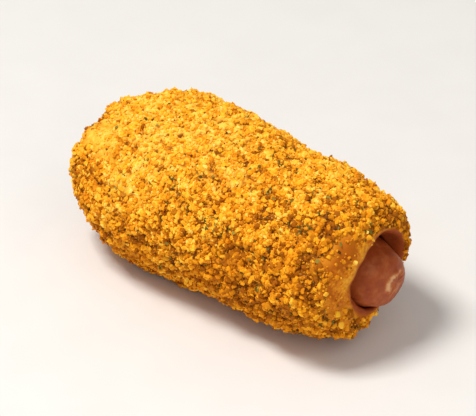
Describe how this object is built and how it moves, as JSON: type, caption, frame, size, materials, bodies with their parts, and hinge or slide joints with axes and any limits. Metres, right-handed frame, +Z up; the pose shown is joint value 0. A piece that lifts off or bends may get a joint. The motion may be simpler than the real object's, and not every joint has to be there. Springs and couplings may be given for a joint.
{
  "type": "corn dog",
  "caption": "Short sausage in a thick fried coat of dough and golden herbed breadcrumbs, without a stick, lying on its side with the sausage's tip showing at each end.",
  "frame": {"origin": "bottom centre of the box round the whole piece, on the surface it lies on", "axes": "+Z up, +X along the sausage towards the end that faces the camera in the picture, +Y across to the side away from the camera"},
  "size_m": [0.0918, 0.0458, 0.042],
  "materials": {
    "sausage": "cooked sausage skin, moist and half glossy, red brown",
    "breadcrumbs": "rough fried breadcrumbs, golden yellow with toasted orange crumbs, green herb flecks and dark specks"
  },
  "bodies": {
    "root": {"sausage": "sausage", "crumbed_coat": "breadcrumbs"}
  },
  "joints": []
}
